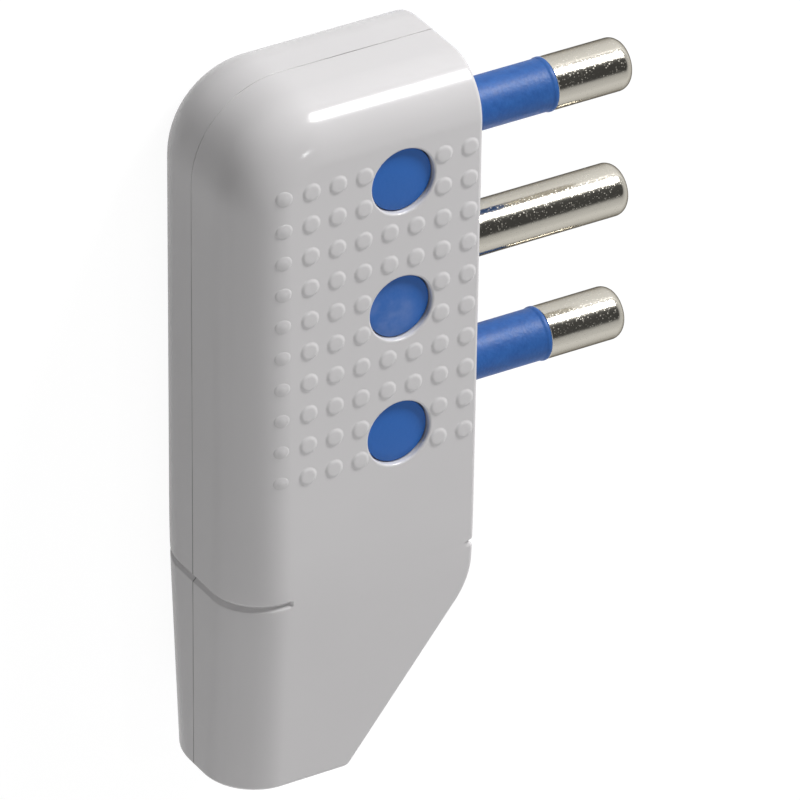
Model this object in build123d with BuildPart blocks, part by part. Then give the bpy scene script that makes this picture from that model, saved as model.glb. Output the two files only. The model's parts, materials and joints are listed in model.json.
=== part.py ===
from build123d import *

import math
import os

# Slim three-pin plug for a flexible cord, rewirable, lying on its rear shell.
# +X runs along the pins, +Y towards the closed end, +Z out of the front face.
# The origin is where the earth pin's axis leaves the carrier's face plate.
# The two shells part in the plane Z = 0. All sizes are in millimetres.

# Body outline, seen from the front
body_top = 22.0  # closed end, from the earth pin's axis
body_foot = 48.3  # cable end, from the earth pin's axis
width_top = 24.9  # pin side to back, at the closed end
width_foot = 24.1  # pin side to back, at the cable end
corner_radius = 5.6  # back corner of the closed end
slope_start = 31.1  # start of the slanted corner, from the earth pin's axis
slope_foot = 11.9  # end of the slanted corner, from the pin side
slope_blend = 8.0  # round where the slanted corner leaves the pin side
foot_blend = 0.9  # round where it meets the cable end

# Body section
half_thickness = 8.6  # parting plane to front face
half_thickness_foot = 7.0  # the same at the cable end
taper_start = 26.9  # start of the thinner tail, from the earth pin's axis
edge_radius = 5.2  # rounding along the back and the closed end
rim_radius = 0.45  # small round on the other outer edges
wall = 1.8
seam_chamfer = 0.22  # broken edge along the parting plane

# Ring groove where the tail begins, a little lower at the back than at the pins
groove_from_axis_pins = 27.0
groove_from_axis_back = 28.0
groove_width = 0.9
groove_depth = 0.45
groove_reach_back = 5.5  # over the front face, from the back
groove_reach_pins = 0.95  # over the front face, from the pin side

# Pins
pin_pitch = 13.0
pin_diameter = 5.0
pin_length = 19.0  # outside the face plate
tip_radius = 1.2
root_diameter = 5.6  # thicker foot inside the carrier, so that a pin can't be pulled out
core_diameter = 3.6  # inside a sleeve
sleeve_diameter = 4.92
sleeve_length = 10.8  # outside the face plate
sleeve_rim_length = 0.55
sleeve_rim_height = 0.2
fit_gap = 0.03  # play of pieces that are pressed or moulded together
slip_gap = 0.12  # play of pieces that are put in by hand

# Terminals on the inner ends of the pins
terminal_length = 8.0
terminal_width = 6.4
terminal_height = 7.0
terminal_chamfer = 0.3
wire_hole = 3.0
wire_hole_depth = 6.4
wire_hole_offset = 0.8  # towards the front face
wire_entry_gap = 0.3  # carrier's wire slot around the wire hole

# Windows in the front shell, one over each terminal
window_from_pin_side = 8.15
window_diameter = 6.4
window_chamfer = 0.4
window_gap = 0.2  # play around the boss in a window
boss_recess = 0.5  # boss top below the front face

# Carrier that holds the pins
plate_proud = 0.85  # face plate stands out of the shells' pin side
plate_height = 36.0
plate_thickness = 9.6
plate_corner = 3.0
plate_edge = 0.4
flange_height = 38.6
flange_thickness = 12.0
flange_corner = 3.6
flange_depth = 2.0
carrier_wall = 1.4

# Raised dots of the finger grip
dot_rows = 10
dot_columns = 8
dot_from_pin_side = 1.4  # first column
dot_from_back = 4.18  # last column, where the dotted field comes nearest to the back
dot_diameter = 1.7
dot_crown = 1.1  # flat top
dot_height = 0.24
dot_sides = 10
dot_root = 0.3  # dots reach this far into the face

# Cable entry and cord grip
cable_entry = 8.4
collar_depth = 5.0  # wall at the cable end
clamp_from_axis = 31.0  # clamp bar, from the earth pin's axis
clamp_screw_from_pin_side = 6.5
clamp_screw_from_back = 5.2
clamp_width = 5.0
clamp_thickness = 2.4
clamp_drop = 1.6  # clamp posts end this far behind the parting plane
clamp_arch = 0.9  # hollow in the side of the bar that holds the cord
clamp_post_diameter = 4.6
saddle_wrap = 0.9  # how far the saddle ribs reach round the cord
saddle_width = 7.6
saddle_thickness = 1.0
saddle_spacing = 3.0
cord_squeeze = 0.4  # how much the clamp flattens the cord

# Rib of the rear shell that keeps the terminals in the carrier
rib_thickness = 1.0
rib_from_back = 0.7  # from the back end of the terminals

# Screws
housing_screw_diameter = 2.9
housing_head_diameter = 5.0
housing_head_height = 1.9
housing_screw_length = 10.5
housing_head_sink = 0.8  # head below the rear face
housing_head_gap = 0.25
housing_post_wall = 0.95
top_post_gap = 0.3  # between the upper screw post and the carrier
top_screw_from_axis = 15.4  # towards the closed end
tail_screw_from_pin_side = 5.35
tail_screw_from_axis = 24.0  # towards the cable end
clamp_screw_diameter = 2.5
clamp_head_diameter = 4.4
clamp_head_height = 1.6
clamp_screw_length = 6.0
terminal_screw_diameter = 3.0
terminal_head_diameter = 5.0
terminal_head_height = 1.5
terminal_screw_length = 2.6
screw_point_room = 0.3  # hole deeper than its screw
slot_width = 0.8
slot_depth = 0.8


def back_at(level):
    """X of the body's back at a height above the earth pin's axis."""
    return back + (width_top - width_foot) * (body_top - level) / (body_top + body_foot)


# Places that follow from the sizes above
pin_side = -plate_proud
back = pin_side - width_top
pin_places = {"line": pin_pitch, "earth": 0.0, "neutral": -pin_pitch}
sleeved_pins = ("line", "neutral")
flange_front = pin_side - wall - slip_gap
flange_back = flange_front - flange_depth
terminal_front = flange_back - slip_gap
terminal_back = terminal_front - terminal_length
terminal_middle = (terminal_front + terminal_back) / 2
terminal_floor = -terminal_height / 2
pocket_back = terminal_back - slip_gap
pocket_length = flange_back - pocket_back
pocket_middle = (flange_back + pocket_back) / 2
pocket_width = terminal_width + 2 * slip_gap
pocket_roof = terminal_height / 2 + slip_gap
carrier_back = pocket_back - carrier_wall
carrier_roof = pocket_roof + carrier_wall
carrier_height = 2 * pin_pitch + pocket_width + 2 * carrier_wall
window_x = pin_side - window_from_pin_side
window_places = [(window_x, y) for y in pin_places.values()]
boss_top = half_thickness - boss_recess
boss_diameter = window_diameter - 2 * window_gap
cable_x = pin_side - (slope_foot + width_foot) / 2
clamp_screw_xs = (
    back_at(-clamp_from_axis) + clamp_screw_from_back,
    pin_side - clamp_screw_from_pin_side,
)
clamp_screw_places = [(x, -clamp_from_axis) for x in clamp_screw_xs]
clamp_screw_pitch = clamp_screw_xs[1] - clamp_screw_xs[0]
clamp_x = sum(clamp_screw_xs) / 2
clamp_seat = -clamp_drop - clamp_thickness
saddle_axis = cable_entry / 2 - clamp_drop - clamp_arch - cord_squeeze
dot_pitch_rows = pin_pitch / 4
dot_top_row = (dot_rows - 1) / 2 * dot_pitch_rows
dot_front = pin_side - dot_from_pin_side
dot_back = max(back_at(dot_top_row), back_at(-dot_top_row)) + dot_from_back
dot_pitch_columns = (dot_front - dot_back) / (dot_columns - 1)
head_recess = housing_head_diameter + 2 * housing_head_gap
rear_post = head_recess + 2 * housing_post_wall
front_post = housing_screw_diameter + 2 * housing_post_wall
housing_screw_places = [
    (carrier_back - top_post_gap - rear_post / 2, top_screw_from_axis),
    (pin_side - tail_screw_from_pin_side, -tail_screw_from_axis),
]
head_seat = housing_head_sink + housing_head_height - half_thickness

os.makedirs("parts", exist_ok=True)


def is_rim(face):
    """True for the upright faces of the pin side, the slanted corner and the cable end."""
    normal = face.normal_at()
    return abs(normal.Z) < 0.01 and (normal.X > 0.1 or normal.Y < -0.9)


def runs_along_back(edge, inset):
    """True for a front edge of the back, the closed end or the corner between them."""
    middle = edge.center()
    at_front = middle.Z > (half_thickness_foot - inset) / 2
    at_back = middle.X < pin_side - width_foot + inset + corner_radius / 3
    at_top = middle.Y > body_top - inset - corner_radius / 3
    turns = abs(edge.tangent_at(0).Z) < 0.5
    joint = abs(middle.Y + taper_start) < 0.01
    return at_front and turns and not joint and (at_back or at_top)


def half_body(inset, rims):
    """Front half of the body, with its outer faces moved in by inset."""
    height = half_thickness - inset
    height_foot = half_thickness_foot - inset
    with BuildPart() as half:
        with BuildSketch():
            with BuildLine():
                Polyline(
                    (pin_side, body_top),
                    (back, body_top),
                    (pin_side - width_foot, -body_foot),
                    (pin_side - slope_foot, -body_foot),
                    (pin_side, -slope_start),
                    close=True,
                )
            make_face()
            fillet(vertices().group_by(Axis.Y)[-1].sort_by(Axis.X)[0], corner_radius)
            fillet(vertices().group_by(Axis.X)[-1].sort_by(Axis.Y)[0], slope_blend)
            fillet(vertices().group_by(Axis.Y)[0].sort_by(Axis.X)[-1], foot_blend)
            if inset:
                offset(amount=-inset, kind=Kind.INTERSECTION)
        extrude(amount=height)
        with BuildSketch(Plane.YZ):
            with BuildLine():
                Polyline(
                    (-taper_start, height),
                    (-body_foot, height_foot),
                    (-body_foot, height),
                    close=True,
                )
            make_face()
        extrude(amount=2 * width_top, both=True, mode=Mode.SUBTRACT)
        fillet([e for e in edges() if runs_along_back(e, inset)], edge_radius - inset)
        if rims:
            bounds = [e for f in faces().filter_by(is_rim) for e in f.edges()]
            outer = [e for e in bounds if sum(e.is_same(other) for other in bounds) == 1]
            fillet([e for e in outer if e.center().Z > rim_radius], rim_radius)
            chamfer(edges().filter_by_position(Axis.Z, 0, 0), seam_chamfer)
    return half.part


def screw(x, y, seat, head_diameter, head_height, shank_diameter, length):
    """Slotted screw along +Z, with the underside of its head at height seat."""
    with BuildPart() as piece:
        with BuildSketch(Plane.XY.offset(seat)):
            with Locations((x, y)):
                Circle(head_diameter / 2)
        extrude(amount=-head_height)
        with BuildSketch(Plane.XY.offset(seat - head_height)):
            with Locations((x, y)):
                Rectangle(head_diameter, slot_width)
        extrude(amount=slot_depth, mode=Mode.SUBTRACT)
        with BuildSketch(Plane.XY.offset(seat)):
            with Locations((x, y)):
                Circle(shank_diameter / 2)
        extrude(amount=length)
    return piece.part


body_half = half_body(0, rims=True)
hollow_half = half_body(wall, rims=False)
groove_core = half_body(groove_depth, rims=False)

# Cutter for the ring groove: a slab less the body inside the groove's floor
groove_line = Plane(
    origin=(pin_side, -groove_from_axis_pins, 0),
    x_dir=(-width_top, groove_from_axis_pins - groove_from_axis_back, 0),
    z_dir=(0, 0, 1),
)
with BuildPart() as groove:
    with BuildSketch(groove_line):
        with Locations((groove_reach_pins, 0)):
            Rectangle(width_top, groove_width, align=(Align.MAX, Align.CENTER))
        with Locations((width_top - groove_reach_back, 0)):
            Rectangle(width_top, groove_width, align=(Align.MIN, Align.CENTER))
    extrude(amount=2 * half_thickness)
    add(groove_core, mode=Mode.SUBTRACT)

# Hollow of the front shell, less the posts, saddle ribs and collar that stand in it
with BuildPart() as front_hollow:
    add(hollow_half)
    with BuildSketch():
        with Locations((pin_side - width_top / 2, collar_depth / 2 - body_foot)):
            Rectangle(width_top, collar_depth)
        with Locations(*housing_screw_places):
            Circle(front_post / 2)
        with Locations(*clamp_screw_places):
            Circle(clamp_post_diameter / 2)
    extrude(amount=half_thickness, mode=Mode.SUBTRACT)
    for shift in (-saddle_spacing / 2, saddle_spacing / 2):
        with BuildSketch(Plane.XZ.offset(clamp_from_axis + shift)):
            with Locations((clamp_x, saddle_axis + cable_entry / 2 - saddle_wrap)):
                Rectangle(saddle_width, half_thickness, align=(Align.CENTER, Align.MIN))
            with Locations((clamp_x, saddle_axis)):
                Circle(cable_entry / 2, mode=Mode.SUBTRACT)
        extrude(amount=saddle_thickness / 2, both=True, mode=Mode.SUBTRACT)

# Opening for the face plate and bore for the cord, shared by both shells
with BuildPart() as entries:
    with BuildSketch(Plane.YZ.offset(flange_front)):
        RectangleRounded(
            plate_height + 2 * slip_gap,
            plate_thickness + 2 * slip_gap,
            plate_corner + slip_gap,
        )
    extrude(amount=2 * wall)
    with BuildSketch(Plane.XZ.offset(body_foot - 2 * collar_depth)):
        with Locations((cable_x, 0)):
            Circle(cable_entry / 2)
    extrude(amount=3 * collar_depth)

dot_room = (window_diameter + dot_diameter) / 2
dot_places = []
for column in range(dot_columns):
    for row in range(dot_rows):
        dot_x = dot_front - column * dot_pitch_columns
        dot_y = dot_top_row - row * dot_pitch_rows
        if all(math.dist((dot_x, dot_y), place) > dot_room for place in window_places):
            dot_places.append((dot_x, dot_y, half_thickness))

dot_slope = math.degrees(math.atan((dot_diameter - dot_crown) / 2 / dot_height))
with BuildPart() as dot:
    with BuildSketch():
        RegularPolygon(dot_diameter / 2, dot_sides)
    extrude(amount=dot_height, taper=dot_slope)
    extrude(faces().sort_by(Axis.Z)[0], amount=dot_root)

with BuildPart() as front_shell:
    add(body_half)
    add(front_hollow.part, mode=Mode.SUBTRACT)
    add(entries.part, mode=Mode.SUBTRACT)
    add(groove.part, mode=Mode.SUBTRACT)
    with BuildSketch(Plane.XY.offset(-clamp_drop)):
        with Locations(*clamp_screw_places):
            Circle(clamp_post_diameter / 2)
    extrude(amount=clamp_drop)
    with BuildSketch(Plane.XY.offset(-clamp_drop)):
        with Locations(*clamp_screw_places):
            Circle(clamp_screw_diameter / 2 + fit_gap)
    extrude(amount=clamp_screw_length - clamp_thickness + screw_point_room, mode=Mode.SUBTRACT)
    with BuildSketch():
        with Locations(*housing_screw_places):
            Circle(housing_screw_diameter / 2 + fit_gap)
    extrude(amount=head_seat + housing_screw_length + screw_point_room, mode=Mode.SUBTRACT)
    with BuildSketch(Plane.XY.offset(half_thickness)):
        with Locations(*window_places):
            Circle(window_diameter / 2)
    extrude(amount=-2 * wall, mode=Mode.SUBTRACT)
    rims = edges().filter_by(GeomType.CIRCLE)
    chamfer(rims.filter_by_position(Axis.Z, half_thickness, half_thickness), window_chamfer)
    with Locations(*dot_places):
        add(dot.part)
front_shell.part.label = "front_shell"
export_step(front_shell.part, "parts/front_shell.step")

# Hollow of the rear shell, less the screw posts, terminal rib and collar
with BuildPart() as rear_hollow:
    mirror(hollow_half, about=Plane.XY)
    with BuildSketch():
        with Locations((pin_side - width_top / 2, collar_depth / 2 - body_foot)):
            Rectangle(width_top, collar_depth)
        with Locations(*housing_screw_places):
            Circle(rear_post / 2)
    extrude(amount=-half_thickness, mode=Mode.SUBTRACT)
    with BuildSketch(Plane.XY.offset(terminal_floor - slip_gap)):
        with Locations((terminal_back + rib_from_back, 0)):
            Rectangle(rib_thickness, carrier_height)
    extrude(amount=-half_thickness, mode=Mode.SUBTRACT)

with BuildPart() as rear_shell:
    mirror(body_half, about=Plane.XY)
    add(rear_hollow.part, mode=Mode.SUBTRACT)
    add(entries.part, mode=Mode.SUBTRACT)
    add(mirror(groove.part, about=Plane.XY, mode=Mode.PRIVATE), mode=Mode.SUBTRACT)
    with BuildSketch():
        with Locations(*housing_screw_places):
            Circle(housing_screw_diameter / 2 + slip_gap)
    extrude(amount=-half_thickness, mode=Mode.SUBTRACT)
    with BuildSketch(Plane.XY.offset(head_seat)):
        with Locations(*housing_screw_places):
            Circle(head_recess / 2)
    extrude(amount=-half_thickness, mode=Mode.SUBTRACT)
rear_shell.part.label = "rear_shell"
export_step(rear_shell.part, "parts/rear_shell.step")

# Carrier: face plate, flange behind the shells' wall, terminal pockets, window bosses
with BuildPart() as pin_carrier:
    with BuildSketch(Plane.YZ):
        RectangleRounded(plate_height, plate_thickness, plate_corner)
    extrude(amount=flange_front)
    chamfer(faces().sort_by(Axis.X)[-1].edges(), plate_edge)
    with BuildSketch(Plane.YZ.offset(flange_front)):
        RectangleRounded(flange_height, flange_thickness, flange_corner)
    extrude(amount=-flange_depth)
    with BuildSketch(Plane.YZ.offset(flange_back)):
        with Locations((0, terminal_floor)):
            Rectangle(carrier_height, carrier_roof - terminal_floor, align=(Align.CENTER, Align.MIN))
    extrude(amount=carrier_back - flange_back)
    with BuildSketch(Plane.XY.offset(terminal_floor)):
        with Locations(*[(pocket_middle, y) for y in pin_places.values()]):
            Rectangle(pocket_length, pocket_width)
        with Locations((pocket_middle, pin_pitch / 2), (pocket_middle, -pin_pitch / 2)):
            Rectangle(pocket_length, pin_pitch - pocket_width - 2 * carrier_wall)
    extrude(amount=pocket_roof - terminal_floor, mode=Mode.SUBTRACT)
    with BuildSketch(Plane.YZ.offset(carrier_back)):
        with Locations(*[(y, wire_hole_offset) for y in pin_places.values()]):
            Circle(wire_hole / 2 + wire_entry_gap)
            Rectangle(wire_hole + 2 * wire_entry_gap, terminal_height, align=(Align.CENTER, Align.MAX))
    extrude(amount=carrier_wall, mode=Mode.SUBTRACT)
    with BuildSketch(Plane.XY.offset(carrier_roof)):
        with Locations(*window_places):
            Circle(boss_diameter / 2)
    extrude(amount=boss_top - carrier_roof)
    with BuildSketch(Plane.YZ.offset(flange_back)):
        with Locations(*[(y, 0) for y in pin_places.values()]):
            Circle(root_diameter / 2 + fit_gap)
    extrude(amount=-flange_back, mode=Mode.SUBTRACT)
pin_carrier.part.label = "pin_carrier"
export_step(pin_carrier.part, "parts/pin_carrier.step")

# Pins, each of one piece with its terminal
for name, y in pin_places.items():
    with BuildPart() as pin:
        with BuildSketch(Plane.YZ.offset(terminal_back)):
            with Locations((y, 0)):
                Rectangle(terminal_width, terminal_height)
        extrude(amount=terminal_length)
        chamfer(edges(), terminal_chamfer)
        bare_from = sleeve_length if name in sleeved_pins else 0
        with BuildSketch(Plane.YZ.offset(terminal_front)):
            with Locations((y, 0)):
                Circle((core_diameter if name in sleeved_pins else root_diameter) / 2)
        extrude(amount=bare_from - terminal_front)
        with BuildSketch(Plane.YZ.offset(bare_from)):
            with Locations((y, 0)):
                Circle(pin_diameter / 2)
        extrude(amount=pin_length - bare_from)
        fillet(edges().group_by(Axis.X)[-1], tip_radius)
        with BuildSketch(Plane.YZ.offset(terminal_back)):
            with Locations((y, wire_hole_offset)):
                Circle(wire_hole / 2)
        extrude(amount=wire_hole_depth, mode=Mode.SUBTRACT)
        with BuildSketch(Plane.XY.offset(terminal_floor)):
            with Locations((terminal_middle, y)):
                Circle(terminal_screw_diameter / 2 + fit_gap)
        extrude(amount=wire_hole_offset - terminal_floor, mode=Mode.SUBTRACT)
    pin.part.label = f"{name}_pin"
    export_step(pin.part, f"parts/{name}_pin.step")

    terminal_screw = screw(
        terminal_middle,
        y,
        terminal_floor,
        terminal_head_diameter,
        terminal_head_height,
        terminal_screw_diameter,
        terminal_screw_length,
    )
    terminal_screw.label = f"{name}_terminal_screw"
    export_step(terminal_screw, f"parts/{name}_terminal_screw.step")

# Insulating sleeves on the inner half of the outer pins
for name in sleeved_pins:
    with BuildPart() as sleeve:
        with BuildSketch(Plane.YZ.offset(terminal_front)):
            with Locations((pin_places[name], 0)):
                Circle(root_diameter / 2)
        extrude(amount=-terminal_front)
        with BuildSketch(Plane.YZ):
            with Locations((pin_places[name], 0)):
                Circle(sleeve_diameter / 2)
        extrude(amount=sleeve_length)
        with BuildSketch(Plane.YZ.offset(sleeve_length)):
            with Locations((pin_places[name], 0)):
                Circle(sleeve_diameter / 2 + sleeve_rim_height)
        extrude(amount=-sleeve_rim_length)
        with BuildSketch(Plane.YZ.offset(terminal_front)):
            with Locations((pin_places[name], 0)):
                Circle(core_diameter / 2 + fit_gap)
        extrude(amount=sleeve_length - terminal_front, mode=Mode.SUBTRACT)
    sleeve.part.label = f"{name}_sleeve"
    export_step(sleeve.part, f"parts/{name}_sleeve.step")

# Clamp bar of the cord grip
with BuildPart() as cable_clamp:
    with BuildSketch(Plane.XY.offset(-clamp_drop)):
        with Locations((clamp_x, -clamp_from_axis)):
            SlotCenterToCenter(clamp_screw_pitch, clamp_width)
        with Locations(*clamp_screw_places):
            Circle(clamp_screw_diameter / 2 + slip_gap, mode=Mode.SUBTRACT)
    extrude(amount=-clamp_thickness)
    with BuildSketch(Plane.XZ.offset(clamp_from_axis)):
        with Locations((clamp_x, cable_entry / 2 - clamp_drop - clamp_arch)):
            Circle(cable_entry / 2)
    extrude(amount=clamp_width, both=True, mode=Mode.SUBTRACT)
cable_clamp.part.label = "cable_clamp"
export_step(cable_clamp.part, "parts/cable_clamp.step")

for number, (x, y) in enumerate(clamp_screw_places, 1):
    clamp_screw = screw(
        x,
        y,
        clamp_seat,
        clamp_head_diameter,
        clamp_head_height,
        clamp_screw_diameter,
        clamp_screw_length,
    )
    clamp_screw.label = f"cable_clamp_screw_{number}"
    export_step(clamp_screw, f"parts/cable_clamp_screw_{number}.step")

for number, (x, y) in enumerate(housing_screw_places, 1):
    housing_screw = screw(
        x,
        y,
        head_seat,
        housing_head_diameter,
        housing_head_height,
        housing_screw_diameter,
        housing_screw_length,
    )
    housing_screw.label = f"housing_screw_{number}"
    export_step(housing_screw, f"parts/housing_screw_{number}.step")
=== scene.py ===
# %% [markdown]
# # A slim mains plug on a pale table
#
# The plug lies on its rear shell. Two glossy white half shells meet in a seam round its narrow
# sides, a blue carrier shows through three round windows, and three nickel-plated pins stand out
# of one long side. The measured model is the frame: this lesson dresses it, lights it and looks at
# it from the photograph's angle.

# %% Load the measured model
import json
import math

import bmesh
import bpy
from mathutils import Matrix, Vector


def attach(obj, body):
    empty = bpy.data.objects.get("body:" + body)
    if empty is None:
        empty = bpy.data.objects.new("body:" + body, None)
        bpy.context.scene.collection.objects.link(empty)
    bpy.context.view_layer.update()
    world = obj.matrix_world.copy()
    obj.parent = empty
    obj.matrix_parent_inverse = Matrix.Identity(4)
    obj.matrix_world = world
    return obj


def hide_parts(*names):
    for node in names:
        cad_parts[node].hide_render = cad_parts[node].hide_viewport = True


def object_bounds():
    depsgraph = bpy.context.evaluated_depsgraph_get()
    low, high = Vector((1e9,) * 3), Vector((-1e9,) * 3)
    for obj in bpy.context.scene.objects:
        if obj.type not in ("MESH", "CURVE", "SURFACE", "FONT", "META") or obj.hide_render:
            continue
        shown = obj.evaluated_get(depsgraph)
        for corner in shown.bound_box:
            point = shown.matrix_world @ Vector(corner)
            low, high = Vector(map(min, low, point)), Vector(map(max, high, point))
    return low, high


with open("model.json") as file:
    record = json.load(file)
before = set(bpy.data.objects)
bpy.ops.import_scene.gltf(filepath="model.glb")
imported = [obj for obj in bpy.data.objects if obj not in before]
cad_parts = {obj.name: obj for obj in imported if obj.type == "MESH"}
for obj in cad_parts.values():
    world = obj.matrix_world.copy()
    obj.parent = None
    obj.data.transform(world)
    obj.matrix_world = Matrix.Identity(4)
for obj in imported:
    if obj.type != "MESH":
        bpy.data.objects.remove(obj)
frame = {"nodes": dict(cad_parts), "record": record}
nodes = frame["nodes"]
scene = bpy.context.scene
scene.view_settings.view_transform = "Standard"
MM = 0.001
cad_low, cad_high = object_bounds()
print("nodes", len(nodes), "box in mm", [round(v / MM, 2) for v in cad_high - cad_low])

# %% [markdown]
# ## Building blocks
#
# The pieces that show are modelled again with finer rounds than the measured model carries. A few
# helpers do most of it. The first turns a list of corners into an outline with rounded corners. A
# bevel on a flat sheet could round them too, but an arc that is written out keeps each radius.

# %% Outlines with rounded corners


def inset_corners(corners, amount):
    """Corners of a convex outline after all its sides have moved in."""
    sides = []
    for here, there in zip(corners, corners[1:] + corners[:1]):
        along = (there - here).normalized()
        inward = Vector((-along.y, along.x))
        sides.append((here + inward * amount, along))
    moved = []
    for (p, d), (q, e) in zip(sides[-1:] + sides[:-1], sides):
        gap = q - p
        reach = (gap.x * e.y - gap.y * e.x) / (d.x * e.y - d.y * e.x)
        moved.append(p + d * reach)
    return moved


def rounded_outline(corners, radii, steps):
    """Points of an outline whose corners are replaced by arcs."""
    points = []
    for i, (corner, radius) in enumerate(zip(corners, radii)):
        if radius <= 0:
            points.append(corner)
            continue
        before = (corners[i - 1] - corner).normalized()
        after = (corners[(i + 1) % len(corners)] - corner).normalized()
        half = before.angle(after) / 2
        centre = corner + (before + after).normalized() * (radius / math.sin(half))
        start = corner + before * (radius / math.tan(half)) - centre
        finish = corner + after * (radius / math.tan(half)) - centre
        for k in range(steps + 1):
            spoke = start.slerp(finish, k / steps)
            points.append(centre + spoke.normalized() * radius)
    return points


# %% [markdown]
# ### Turning and cutting
#
# Pins, sleeves, windows and dots are round, so they are spun from a section, as a lathe would turn
# them. Where two walls have to cross cleanly, one solid is taken out of the other with an exact
# Boolean, and the result is kept as a plain mesh.

# %% Turned pieces
MERGE_DISTANCE = 0.0005


def unique(items):
    """The items once each, in the order they came."""
    return list(dict.fromkeys(items))


def turn(bm, profile, place, axis, steps):
    """Spins a profile of (along, radius) pairs about an axis and closes it."""
    along = Vector(axis)
    side = Vector((0, 0, 1)) if abs(along.z) < 0.5 else Vector((1, 0, 0))
    verts = [bm.verts.new(Vector(place) + along * t + side * r) for t, r in profile]
    edges = [bm.edges.new(pair) for pair in zip(verts, verts[1:])]
    before = set(bm.faces)
    bmesh.ops.spin(
        bm,
        geom=verts + edges,
        cent=place,
        axis=axis,
        angle=math.tau,
        steps=steps,
        use_merge=True,
    )
    made = [f for f in bm.faces if f not in before]
    bmesh.ops.remove_doubles(bm, verts=unique(v for f in made for v in f.verts), dist=MERGE_DISTANCE)
    made = [f for f in bm.faces if f not in before]
    bmesh.ops.recalc_face_normals(bm, faces=made)
    return made


def quarter_round(steps):
    """Pairs of 1 - cosine and 1 - sine over a quarter turn, for a rounded edge."""
    angles = [k / steps * math.pi / 2 for k in range(steps + 1)]
    return [(1 - math.cos(a), 1 - math.sin(a)) for a in angles]


# %% Pieces and cuts


def resize(bm, factor):
    """Scales a whole mesh about the origin."""
    bmesh.ops.scale(bm, vec=(factor, factor, factor), verts=bm.verts[:])


def piece_from(bm, name, unit=MM):
    """Object in metres from a mesh that is drawn in the given unit."""
    resize(bm, unit)
    mesh = bpy.data.meshes.new(name)
    bm.to_mesh(mesh)
    bm.free()
    piece = bpy.data.objects.new(name, mesh)
    scene.collection.objects.link(piece)
    return piece


def cut_away(piece, cutter):
    """Takes the cutter's volume out of the piece and drops the cutter."""
    knife = piece.modifiers.new("cut", "BOOLEAN")
    knife.operation = "DIFFERENCE"
    knife.solver = "EXACT"
    knife.object = cutter
    bpy.context.view_layer.update()
    ready = piece.evaluated_get(bpy.context.evaluated_depsgraph_get())
    mesh = bpy.data.meshes.new_from_object(ready)
    piece.modifiers.clear()
    old = piece.data
    mesh.name = piece.name
    piece.data = mesh
    bpy.data.meshes.remove(old)
    bpy.data.objects.remove(cutter)


# %% [markdown]
# ### Even shading
#
# Smooth shading averages the directions of all faces at a point, which makes a large flat look
# dented beside a round. Weighted normals help, but the flats of a moulded body are known here: they
# keep their own direction up to their last point, and the rounds start from it.

# %% Shading of large rounds
FLAT_LIMIT = math.cos(math.radians(0.4))
SMOOTH_LIMIT = math.cos(math.radians(42))


def soft_normals(piece, flat_directions):
    """Flat faces keep their own direction right up to the round that leaves them."""
    mesh = piece.data
    mesh.shade_smooth()
    flats = [Vector(d).normalized() for d in flat_directions]
    turned = [p.normal.copy() for p in mesh.polygons]
    is_flat = [any(n.dot(d) > FLAT_LIMIT for d in flats) for n in turned]
    around = [[] for _ in mesh.vertices]
    for p in mesh.polygons:
        for v in p.vertices:
            around[v].append(p.index)
    wanted = []
    for p in mesh.polygons:
        own = turned[p.index]
        for v in p.vertices:
            if is_flat[p.index]:
                wanted.append(own)
                continue
            near = [i for i in around[v] if turned[i].dot(own) > SMOOTH_LIMIT]
            level = [turned[i] for i in near if is_flat[i]]
            if level:
                wanted.append(max(level, key=own.dot))
                continue
            total = Vector()
            for i in near:
                total += turned[i] * mesh.polygons[i].area
            wanted.append(total.normalized() if total.length > 0 else own)
    mesh.normals_split_custom_set(wanted)


# %% [markdown]
# ## The two half shells
#
# Each shell is an injection-moulded tray: a slim block with a generous round along its back and its
# closed end, and only a broken edge on the pin side, the slanted corner and the cable end. It is
# drawn the same way here: the outline is raised to half the body's thickness, thinned towards the
# cable end with a soft start, and then bevelled, first the large round, then the small rims, last
# the seam edge. Each half stops a hair short of the middle, so that the seam is a real gap.

# %% Body sizes in millimetres
PIN_SIDE = -0.85
BODY_TOP = 22.0
BODY_FOOT = -48.3
BACK_TOP = PIN_SIDE - 24.9
BACK_FOOT = PIN_SIDE - 24.1
SLOPE_START = -31.1
SLOPE_FOOT = PIN_SIDE - 11.9
HALF = 8.6
HALF_FOOT = 7.0

body_corners = [
    Vector((PIN_SIDE, BODY_TOP)),
    Vector((BACK_TOP, BODY_TOP)),
    Vector((BACK_FOOT, BODY_FOOT)),
    Vector((SLOPE_FOOT, BODY_FOOT)),
    Vector((PIN_SIDE, SLOPE_START)),
]
print("body in mm", round(BODY_TOP - BODY_FOOT, 2), "x", round(PIN_SIDE - BACK_TOP, 2), "x", 2 * HALF)

# %% Taper of the tail
TAPER_START = -26.9
TAPER_BLEND = 4.0
taper_slope = (HALF - HALF_FOOT) / (TAPER_START - BODY_FOOT)


def taper_drop(y):
    """How much thinner a half is than at the closed end, with a soft start."""
    past = TAPER_START - y
    if past <= -TAPER_BLEND:
        return 0
    if past >= TAPER_BLEND:
        return taper_slope * past
    return taper_slope * (past + TAPER_BLEND) ** 2 / (4 * TAPER_BLEND)


print("each half gets thinner by", round(taper_drop(BODY_FOOT), 2), "mm")

# %% [markdown]
# ### The block
#
# The outline becomes a sheet and the sheet a block. Cuts across the tail give the taper points to
# bend at. Faces and edges are picked by the way they look and not by their numbers, because every
# operator counts them anew.

# %% Telling faces apart
UPRIGHT = 0.05
SIDEWAYS = 0.1
FACING = 0.9


def is_rim(face):
    """Upright faces of the pin side, the slanted corner and the cable end."""
    n = face.normal
    return abs(n.z) < UPRIGHT and (n.x > SIDEWAYS or n.y < -FACING)


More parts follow.
